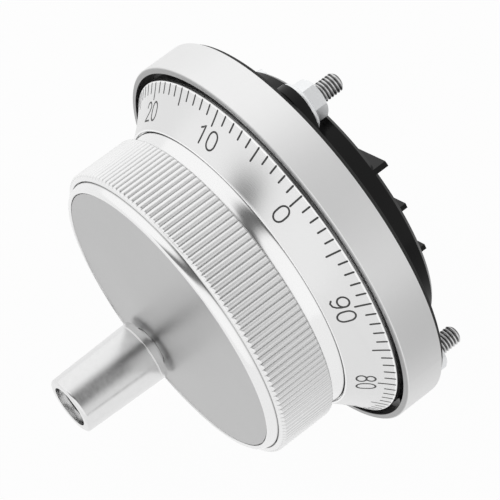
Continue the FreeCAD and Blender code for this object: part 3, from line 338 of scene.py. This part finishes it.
def moulded_plastic(name, colour, roughness, grain_scale, grain_strength, shine=0.5):
    """Moulded plastic or rubber with a fine grain and a slight change of tone."""
    s = Surface(name)
    grain = s.noise(grain_scale, 3.0)
    tone = s.noise(MOULDED_TONE, 2.0)
    lighter = tuple(min(1.0, part * 1.5 + 0.003) for part in colour[:3]) + (1.0,)
    return s.finish({
        "Base Color": s.mix(tone, colour, lighter),
        "Roughness": vary(roughness, grain, 0.1),
        "Specular IOR Level": shine,
        "Normal": s.bump(grain, grain_strength, GRAIN_DEPTH),
    })


bezel_metal = blasted_metal("bezel_metal", 0.82, 0.90, 0.38, LIP_RADIUS)
dial_metal = dial_finish()
wheel_metal = wheel_finish()
plate_metal = blasted_metal("plate_metal", 0.49, 0.55, 0.34)
handle_metal = plated_metal("handle_metal", grey(0.76), grey(0.84), 0.18)
pin_steel = plated_metal("pin_steel", grey(0.72), grey(0.82), 0.24)
zinc = plated_metal("zinc_plate", (0.89, 0.90, 0.91, 1), (0.96, 0.97, 0.98, 1), 0.42)
stud_steel = plated_metal("stud_steel", grey(0.72), grey(0.82), 0.30, threaded=True)
nickel = plated_metal("nickel_plate", (0.66, 0.63, 0.56, 1), (0.80, 0.77, 0.70, 1), 0.2)
steel = plated_metal("ground_steel", grey(0.45), grey(0.55), 0.22)
inner_metal = plated_metal("inner_metal", grey(0.55), grey(0.66), 0.3)
blackened = plated_metal("blackened_sheet", grey(0.03), grey(0.06), 0.4)
housing_plastic = moulded_plastic("housing_plastic", grey(0.002), 0.18, 2500.0, 0.03, 0.2)
pad_plastic = moulded_plastic("pad_plastic", grey(0.004), 0.40, 3000.0, 0.2, 0.2)
chip_plastic = moulded_plastic("chip_plastic", grey(0.02), 0.5, 5000.0, 0.2)
bush_plastic = moulded_plastic("bush_plastic", (0.78, 0.76, 0.70, 1), 0.4, 3000.0, 0.1)
laminate = moulded_plastic("laminate", (0.01, 0.10, 0.04, 1), 0.35, 6000.0, 0.15)
seal_rubber = moulded_plastic("seal_rubber", grey(0.014), 0.65, 4000.0, 0.3)
dial_fill = moulded_plastic("dial_fill", grey(0.035), 0.5, 4000.0, 0.1)


def dress(material, *names):
    """Give CAD nodes their finished material."""
    for name in names:
        slots = nodes[name].data.materials
        slots.clear()
        slots.append(material)


dress(bezel_metal, "bezel_body")
dress(seal_rubber, "mounting_gasket")
dress(pad_plastic, "stud_pads")
dress(zinc, "mounting_studs", "flat_washers", "hex_nuts", "housing_screws", "board_screws",
      "bearing_housing_screws", "yoke_screws", "dial_screws", "wheel_screws", "hub_set_screws")
dress(housing_plastic, "rear_housing")
dress(nickel, "terminal_tabs", "terminal_clamps", "terminal_screws", "board_pins", "board_spacers")
dress(laminate, "encoder_board")
dress(chip_plastic, "photo_sensor", "light_emitter", "emitter_bracket", "line_driver")
dress(blackened, "sensor_mask", "code_wheel")
dress(steel, "rear_bearing_outer", "rear_bearing_inner", "front_bearing_outer",
      "front_bearing_inner", "shaft", "shaft_clip", "detent_shoes", "detent_rotor")
dress(inner_metal, "code_wheel_hub", "bearing_housing", "bearing_spacer", "detent_yoke",
      "wheel_hub", "smoothing_capacitor", "detent_magnets")
dress(dial_metal, "dial_skirt")
dress(wheel_metal, "knurled_wheel")
dress(plate_metal, "face_plate")
dress(handle_metal, "handle_sleeve")
dress(pin_steel, "handle_pin")
dress(bush_plastic, "handle_bush")


# Meshes of the pieces that the scene adds


class Mesh:
    """Vertices and faces that are gathered for one piece."""

    def __init__(self):
        self.vertices = []
        self.faces = []

    def add(self, points):
        """Add a row of points and return their numbers."""
        first = len(self.vertices)
        self.vertices.extend(points)
        return list(range(first, first + len(points)))

    def bridge(self, before, after, closed=True):
        """Quads between two rows of as many points."""
        count = len(before)
        for index in range(count if closed else count - 1):
            following = (index + 1) % count
            self.faces.append((before[index], before[following], after[following], after[index]))

    def wrap(self, rows):
        """Quads from each row to the next, and from the last row to the first."""
        for before, after in zip(rows, rows[1:] + rows[:1]):
            self.bridge(before, after)

    def piece(self, name, material, body, slot, smooth_angle=30.0):
        """Make the object, smooth up to an angle, with flat ends where a face has many corners."""
        mesh = bpy.data.meshes.new(name)
        mesh.from_pydata([tuple(point) for point in self.vertices], [], self.faces)
        mesh.validate()
        mesh.materials.append(material)
        mesh.shade_smooth()
        mesh.set_sharp_from_angle(angle=math.radians(smooth_angle))
        for face in mesh.polygons:
            face.use_smooth = len(face.vertices) <= 4
        piece = bpy.data.objects.new(name, mesh)
        bpy.context.scene.collection.objects.link(piece)
        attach(piece, body)
        return piece


# Dial and fluted wheel, turned to their finished profiles

DIAL_SIDES = 400
DIAL_STEPS = 20
DIAL_WALL = DIAL_OUTER[0] + 0.13
DIAL_BACK = [(24.0, 14.8), (29.75, 14.8), (36.0, 7.2), (DIAL_WALL, 7.2), (DIAL_WALL, 8.2),
             (DIAL_WALL, DIAL_OUTER[1] - 0.16), (DIAL_WALL - 0.04, DIAL_OUTER[1] - 0.05)]
DIAL_FRONT = [(30.98, 16.24), (30.84, 16.24), (30.74, 16.15), (30.71, 16.0), (30.71, 15.7),
              (30.28, 15.7), (30.28, 16.38), (24.0, 16.38)]
WHEEL_WAIST = [(28.0, 18.4), (24.0, 18.4), (24.0, 16.4), (30.28, 16.4), (30.32, 15.8),
               (30.52, 15.8), (30.52, 16.15), (30.36, 16.6), (30.0, 17.4), (29.7, 18.1),
               (29.45, 18.7), (29.4, 19.0), (29.55, 19.2), (29.9, 19.27), (30.7, 19.27),
               (30.95, 19.33), (31.07, 19.43)]
WHEEL_CROWN = [(31.07, 31.12), (30.98, 31.28), (30.8, 31.4), (30.5, 31.46), (30.25, 31.48),
               (30.15, 31.43), (30.08, 31.05), (30.02, 31.05), (29.97, 31.43), (29.91, 31.7),
               (29.76, 32.2), (29.6, 32.58), (29.4, 32.86), (29.15, 33.02), (28.85, 33.08),
               (28.64, 33.04), (28.54, 32.92), (28.52, 32.7), (28.52, 31.7), (1.5, 31.7),
               (1.5, 28.5), (28.0, 28.5)]
# Height of a rib at even steps round it, and at distances from its end, as shares of the depth
RIB_SHAPE = (0.0, 0.5, 0.83, 0.96, 1.0, 0.96, 0.83, 0.5)
RIB_ENDS = ((0.0, 0.0), (0.04, 0.45), (0.12, 0.8), (0.25, 0.96), (0.45, 1.0))


def dial_foot(along, rise=0.0):
    """Radius and height of a point of the hollow dial face, in mm inwards from its edge."""
    run = Vector((DIAL_INNER[0] - DIAL_OUTER[0], DIAL_INNER[1] - DIAL_OUTER[1]))
    chord = run.length
    run.normalize()
    outward = Vector((run.y, -run.x))
    hollow = math.sqrt(DIAL_HOLLOW_RADIUS ** 2 - (along - chord / 2) ** 2)
    hollow -= math.sqrt(DIAL_HOLLOW_RADIUS ** 2 - chord ** 2 / 4)
    return Vector(DIAL_OUTER) + run * along - outward * (hollow - rise)


def build_dial():
    chord = math.dist(DIAL_OUTER, DIAL_INNER)
    face = [tuple(dial_foot(chord * step / DIAL_STEPS)) for step in range(DIAL_STEPS + 1)]
    mesh = Mesh()
    rows = []
    for radius, height in DIAL_BACK + face + DIAL_FRONT:
        rows.append(mesh.add([place(radius, FULL_TURN * side / DIAL_SIDES, height)
                              for side in range(DIAL_SIDES)]))
    mesh.wrap(rows)
    dial = mesh.piece("turned_dial", dial_metal, "wheel", "dial_metal", 25.0)
    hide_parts("dial_skirt")


def build_wheel():
    ends = [(FLUTE_BACK + inset, share) for inset, share in RIB_ENDS]
    ends += [(FLUTE_FRONT - inset, share) for inset, share in reversed(RIB_ENDS)]
    profile = [(radius, height, 0.0) for radius, height in WHEEL_WAIST]
    profile += [(FLUTE_ROOT, height, FLUTE_DEPTH * share) for height, share in ends]
    profile += [(radius, height, 0.0) for radius, height in WHEEL_CROWN]
    steps = len(RIB_SHAPE)
    sides = FLUTE_COUNT * steps
    mesh = Mesh()
    rows = []
    for radius, height, depth in profile:
        rows.append(mesh.add([place(radius + RIB_SHAPE[side % steps] * depth,
                                    FULL_TURN * side / sides, height)
                              for side in range(sides)]))
    mesh.wrap(rows)
    wheel = mesh.piece("fluted_wheel", wheel_metal, "wheel", "wheel_metal", 35.0)
    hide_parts("knurled_wheel")


build_dial()
build_wheel()

# Marks and numbers of the dial

INK_RISE = 0.015
MARK_WIDTH = 0.37
MARK_STEPS = 6
SHORT_MARK = 2.0
LONG_MARK = 3.25
LONG_EVERY = 5
NUMBER_EVERY = 10
NUMBER_TOP = 3.75
DIGIT_HEIGHT = 3.5
DIGIT_WIDTH = 2.15
DIGIT_STEP = 3.1
STROKE = 0.36
STROKE_END_SIDES = 12
BOW_STEP = 15.0


def dial_point(across, along, angle):
    """A point just over the dial: mm to the right of an angle and mm inwards from its edge."""
    foot = dial_foot(along, INK_RISE)
    return place(foot.x, angle - math.degrees(across / foot.x), foot.y)


def draw_stroke(mesh, path, width, angle, closed=False):
    """A flat stroke along a path of (across, along) points, with round ends when it is open."""
    count = len(path)
    reach = width / 2
    left = []
    right = []
    for index, (x, y) in enumerate(path):
        before = path[index - 1] if closed or index > 0 else path[index]
        after = path[(index + 1) % count] if closed or index < count - 1 else path[index]
        dx, dy = after[0] - before[0], after[1] - before[1]
        length = math.hypot(dx, dy)
        nx, ny = -dy / length * reach, dx / length * reach
        left.append(dial_point(x + nx, y + ny, angle))
        right.append(dial_point(x - nx, y - ny, angle))
    mesh.bridge(mesh.add(left), mesh.add(right), closed)
    if closed:
        return
    for x, y in (path[0], path[-1]):
        disc = []
        for step in range(STROKE_END_SIDES):
            turn = -math.tau * step / STROKE_END_SIDES
            disc.append(dial_point(x + reach * math.cos(turn), y + reach * math.sin(turn), angle))
        mesh.faces.append(mesh.add(disc))


def bow(cx, cy, rx, ry, start, stop):
    """Points of an arc in the digit box; angles run from the right, downwards first."""
    steps = max(4, round(abs(stop - start) / BOW_STEP))
    points = []
    for step in range(steps + 1):
        turn = math.radians(start + (stop - start) * step / steps)
        points.append((cx + rx * math.cos(turn), cy + ry * math.sin(turn)))
    return points


def ring(cx, cy, rx, ry):
    """Points of a whole oval in the digit box."""
    return bow(cx, cy, rx, ry, 0, 360)[:-1]


# Strokes of the ten digits in a box from -1 to 1 across and 0 to 1 down, each with whether it is
# closed
DIGITS = {
    "0": [(bow(0, 0.38, 1, 0.38, 180, 360) + bow(0, 0.62, 1, 0.38, 0, 180), True)],
    "1": [([(-0.55, 0.22), (-0.1, 0.14), (0.3, 0.0), (0.3, 0.5), (0.3, 1.0)], False)],
    "2": [(bow(0, 0.27, 0.95, 0.27, 180, 370) + [(0.55, 0.52), (-0.2, 0.76), (-1, 1.0)], False),
          ([(-1, 1.0), (0, 1.0), (1, 1.0)], False)],
    "3": [(bow(-0.05, 0.24, 0.9, 0.24, 190, 450), False),
          (bow(-0.05, 0.73, 1.0, 0.27, -90, 165), False)],
    "4": [([(0.45, 1.0), (0.45, 0.5), (0.45, 0.0), (-0.3, 0.36), (-1, 0.7), (0, 0.7), (1, 0.7)],
           False)],
    "5": [([(0.85, 0.0), (0, 0.0), (-0.7, 0.0), (-0.8, 0.22), (-0.9, 0.44)]
           + bow(0, 0.67, 1.0, 0.33, 222, 510), False)],
    "6": [([(0.55, 0.0), (-0.1, 0.22), (-0.7, 0.46)], False), (ring(0, 0.68, 1.0, 0.32), True)],
    "7": [([(-1, 0.0), (0, 0.0), (1, 0.0), (0.4, 0.35), (-0.05, 0.68), (-0.35, 1.0)], False)],
    "8": [(ring(0, 0.24, 0.85, 0.24), True), (ring(0, 0.735, 1.0, 0.265), True)],
    "9": [(ring(0, 0.32, 1.0, 0.32), True),
          ([(1.0, 0.32), (0.95, 0.55), (0.75, 0.78), (0.35, 0.95), (-0.3, 1.0), (-0.75, 0.9)],
           False)],
}


def division_angle(index):
    return DIAL_ZERO + FULL_TURN / DIVISIONS * index


def build_marks():
    mesh = Mesh()
    start = MARK_WIDTH / 2
    for index in range(DIVISIONS):
        length = LONG_MARK if index % LONG_EVERY == 0 else SHORT_MARK
        path = [(0.0, start + (length - start) * step / MARK_STEPS)
                for step in range(MARK_STEPS + 1)]
        draw_stroke(mesh, path, MARK_WIDTH, division_angle(index))
    mesh.piece("dial_marks", dial_fill, "wheel", "dial_metal")


def build_numbers():
    mesh = Mesh()
    for index in range(0, DIVISIONS, NUMBER_EVERY):
        text = str(index)
        for position, digit in enumerate(text):
            centre = (position - (len(text) - 1) / 2) * DIGIT_STEP
            for path, closed in DIGITS[digit]:
                points = [(centre + x * DIGIT_WIDTH / 2, NUMBER_TOP + y * DIGIT_HEIGHT)
                          for x, y in path]
                draw_stroke(mesh, points, STROKE, division_angle(index), closed)
    mesh.piece("dial_numbers", dial_fill, "wheel", "dial_metal")


build_marks()
build_numbers()

# Studs with their thread, nuts with chamfered corners, and dished washers

STUD_BACK = -11.0
STUD_FRONT = 5.4
STUD_SIDES = 40
THREAD_PITCH = 0.7
THREAD_ROWS = 12
THREAD_FRONT = -2.0
TIP_LENGTH = 0.35
TIP_RADIUS = THREAD_CORE - 0.32
TIP_SLOPE = 0.75
NUT_WIDTH = 7.0
NUT_BACK = -5.9
NUT_FRONT = -2.7
NUT_BORE = 2.02
NUT_SIDES = 72
BORE_CHAMFER = 0.35
CORNER_SLOPE = math.tan(math.radians(32.0))
WASHER_SIDES = 72
WASHER_PROFILE = [(2.15, -2.6), (2.25, -2.7), (3.3, -2.7), (3.45, -3.25), (3.75, -3.12),
                  (4.3, -2.85), (4.75, -2.7), (4.93, -2.55), (5.0, -2.3), (4.96, -2.05),
                  (4.85, -1.9), (2.25, -1.9), (2.15, -2.0)]


def add_about_stud(mesh, centre, points):
    """Add a ring of points at even angles about a stud, each a radius and a height."""
    ring_points = []
    for side, (radius, height) in enumerate(points):
        turn = math.tau * side / len(points)
        across = Vector((math.cos(turn), 0.0, math.sin(turn))) * radius * MM
        ring_points.append(place(STUD_CIRCLE, centre, height) + across)
    return mesh.add(ring_points)


def thread_radius(height, turned):
    """Radius of the thread at a height and a share of a turn, cut back towards the tip."""
    crest = 0.5 + 0.5 * math.cos(math.tau * (height / THREAD_PITCH - turned))
    radius = THREAD_CORE + (THREAD_CREST - THREAD_CORE) * crest
    return min(radius, THREAD_CORE - 0.1 + (height - STUD_BACK) * TIP_SLOPE)


def build_studs():
    step = THREAD_PITCH / THREAD_ROWS
    thread_back = STUD_BACK + TIP_LENGTH
    count = round((THREAD_FRONT - thread_back) / step)
    outline = [[(TIP_RADIUS, STUD_BACK)] * STUD_SIDES]
    for row in range(count + 1):
        height = thread_back + step * row
        outline.append([(thread_radius(height, side / STUD_SIDES), height)
                        for side in range(STUD_SIDES)])
    for height in (THREAD_FRONT + 0.1, STUD_FRONT):
        outline.append([(THREAD_CORE, height)] * STUD_SIDES)
    mesh = Mesh()
    for centre in STUD_ANGLES:
        rows = [add_about_stud(mesh, centre, points) for points in outline]
        for before, after in zip(rows, rows[1:]):
            mesh.bridge(before, after)
        mesh.faces.append(rows[0][::-1])
        mesh.faces.append(rows[-1])
    studs = mesh.piece("threaded_studs", stud_steel, "panel_side", "zinc", 80.0)
    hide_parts("mounting_studs")


def build_nuts():
    flat = NUT_WIDTH / 2
    rim = flat * 0.95
    corner = flat / math.cos(math.radians(30.0)) - 0.04
    sides = []
    for side in range(NUT_SIDES):
        off = (FULL_TURN / NUT_SIDES * side + 30.0) % 60.0 - 30.0
        sides.append(min(flat / math.cos(math.radians(off)), corner))
    faces = []
    for face, inwards in ((NUT_BACK, 1.0), (NUT_FRONT, -1.0)):
        faces.append([
            [(NUT_BORE, face + inwards * BORE_CHAMFER)] * NUT_SIDES,
            [(NUT_BORE + BORE_CHAMFER, face)] * NUT_SIDES,
            [(rim, face)] * NUT_SIDES,
            [(side, face + inwards * (side - rim) * CORNER_SLOPE) for side in sides],
        ])
    back, front = faces
    mesh = Mesh()
    for centre in STUD_ANGLES:
        mesh.wrap([add_about_stud(mesh, centre, points) for points in back + front[::-1]])
    nuts = mesh.piece("chamfered_nuts", zinc, "panel_side", "zinc", 25.0)
    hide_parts("hex_nuts")


def build_washers():
    mesh = Mesh()
    for centre in STUD_ANGLES:
        mesh.wrap([add_about_stud(mesh, centre, [point] * WASHER_SIDES)
                   for point in WASHER_PROFILE])
    washers = mesh.piece("pressed_washers", zinc, "panel_side", "zinc", 30.0)
    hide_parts("flat_washers")


build_studs()
build_nuts()
build_washers()

# Floor, studio light and camera; places are in metres here

FLOOR_HEIGHT = -0.0412
FLOOR_REACH = 3.0
FLOOR_SHADOW_REACH = (0.02, 0.10)
FLOOR_SHADOW_BEHIND = (-0.03, 0.01)
TO_CAMERA = Vector((0.4446, -0.3050, 0.8422))
TO_RIGHT = Vector((0.5657, 0.8246, 0.0))
TO_TOP = Vector((-0.6946, 0.4765, 0.5390))
GAP_TILT = math.radians(14.0)
GAP_ROLL = math.radians(6.0)
GAP_DEPTH = 0.86
NEAR_CARD = 0.96
BACK_CARD = (0.73, 0.94)
CARD_STRENGTH = 1.1
CAMERA_PLACE = (0.24183, -0.16591, 0.45835)
CAMERA_TURN = (31.8496, 4.5692, 50.3449)
CAMERA_LENS = 208.8
CAMERA_SENSOR = 36.0


def floor_material():
    """Pale floor, white to the camera; in metal it shows white, with a painted shadow in grey over
    its far part.
    """
    s = Surface("pale_floor")
    grain = s.noise(FLOOR_GRAIN, 3.0)
    pale = s.mix(grain, grey(0.70), grey(0.73))
    cloth = s.node("ShaderNodeBsdfPrincipled", {}, {"Base Color": pale, "Roughness": 0.9})
    white = s.node("ShaderNodeEmission", {}, {"Color": grey(1.0), "Strength": 1.0})
    x, y, _ = s.parts(s.place)
    # Painted shadow: where metal mirrors the floor's far part, the floor shows grey in place of
    # the object's shadow.
    painted_floor_shadow = s.ramp(x * 0.93 + y * 0.36, *FLOOR_SHADOW_REACH) * s.ramp(y, *FLOOR_SHADOW_BEHIND)
    mirrored_floor_glow = s.node("ShaderNodeEmission", {},
                  {"Color": s.mix(painted_floor_shadow, grey(1.0), grey(0.56)), "Strength": 1.0})
    seen = s.node("ShaderNodeLightPath", {}, {}, "Is Camera Ray")
    mirrored = s.node("ShaderNodeLightPath", {}, {}, "Is Glossy Ray")
    floor = s.node("ShaderNodeMixShader", {}, {0: seen * 0.96, 1: cloth, 2: white})
    shader = s.node("ShaderNodeMixShader", {}, {0: mirrored * 0.9, 1: floor, 2: mirrored_floor_glow})
    s.node("ShaderNodeOutputMaterial", {}, {"Surface": shader})
    return s.material


def build_floor():
    corners = [(-FLOOR_REACH, -FLOOR_REACH), (FLOOR_REACH, -FLOOR_REACH),
               (FLOOR_REACH, FLOOR_REACH), (-FLOOR_REACH, FLOOR_REACH)]
    mesh = bpy.data.meshes.new("floor")
    mesh.from_pydata([(x, y, FLOOR_HEIGHT) for x, y in corners], [], [(0, 1, 2, 3)])
    mesh.materials.append(floor_material())
    floor = bpy.data.objects.new("floor", mesh)
    bpy.context.scene.collection.objects.link(floor)


def build_studio():
    """White cards all round, with a dark gap between them in front of the object."""
    world = bpy.data.worlds.new("studio")
    bpy.context.scene.world = world
    world.use_nodes = True
    w = Graph(world.node_tree)
    way = w.node("ShaderNodeTexCoord", {}, {}, "Generated")
    x, y, _ = w.parts(way)
    left = x * -1.0
    toward = y * -1.0
    along_gap = TO_RIGHT * math.cos(GAP_ROLL) + TO_TOP * math.sin(GAP_ROLL)
    across_gap = TO_TOP * math.cos(GAP_ROLL) - TO_RIGHT * math.sin(GAP_ROLL)
    gap_normal = across_gap * math.cos(GAP_TILT) - TO_CAMERA * math.sin(GAP_TILT)
    narrowing = 0.5 + 0.85 * w.ramp(toward, 0.05, 0.35) + 0.35 * w.ramp(toward, 0.55, 0.8)
    off = w.math("ABSOLUTE", w.dot(way, gap_normal)) * narrowing
    aside = w.math("ABSOLUTE", w.dot(way, along_gap))
    gap = 1.0 - w.ramp(off, 0.10, 0.36)
    gap = gap * w.ramp(w.dot(way, TO_CAMERA), 0.15, 0.55)
    gap = gap * (1.0 - w.ramp(aside, 0.78, 0.98))
    gap = gap * w.ramp(toward, -0.26, -0.14)
    near = w.ramp(toward, -0.25, 0.35)
    back = BACK_CARD[0] + (BACK_CARD[1] - BACK_CARD[0]) * w.ramp(left, -0.4, 0.7)
    glow = NEAR_CARD * near + back * (1.0 - near)
    light = w.mix(glow * (1.0 - GAP_DEPTH * gap), grey(0.0), grey(CARD_STRENGTH))
    seen = w.node("ShaderNodeLightPath", {}, {}, "Is Camera Ray")
    room = w.node("ShaderNodeBackground", {}, {"Color": light, "Strength": 1.0})
    white = w.node("ShaderNodeBackground", {}, {"Color": grey(1.0), "Strength": 1.0})
    shader = w.node("ShaderNodeMixShader", {}, {0: seen, 1: room, 2: white})
    w.node("ShaderNodeOutputWorld", {}, {"Surface": shader})


def build_camera():
    data = bpy.data.cameras.new("camera")
    data.sensor_width = CAMERA_SENSOR
    data.lens = CAMERA_LENS
    camera = bpy.data.objects.new("camera", data)
    camera.location = CAMERA_PLACE
    camera.rotation_euler = tuple(math.radians(angle) for angle in CAMERA_TURN)
    bpy.context.scene.collection.objects.link(camera)
    bpy.context.scene.camera = camera
    bpy.context.scene.view_settings.view_transform = "Standard"


build_floor()
build_studio()
build_camera()
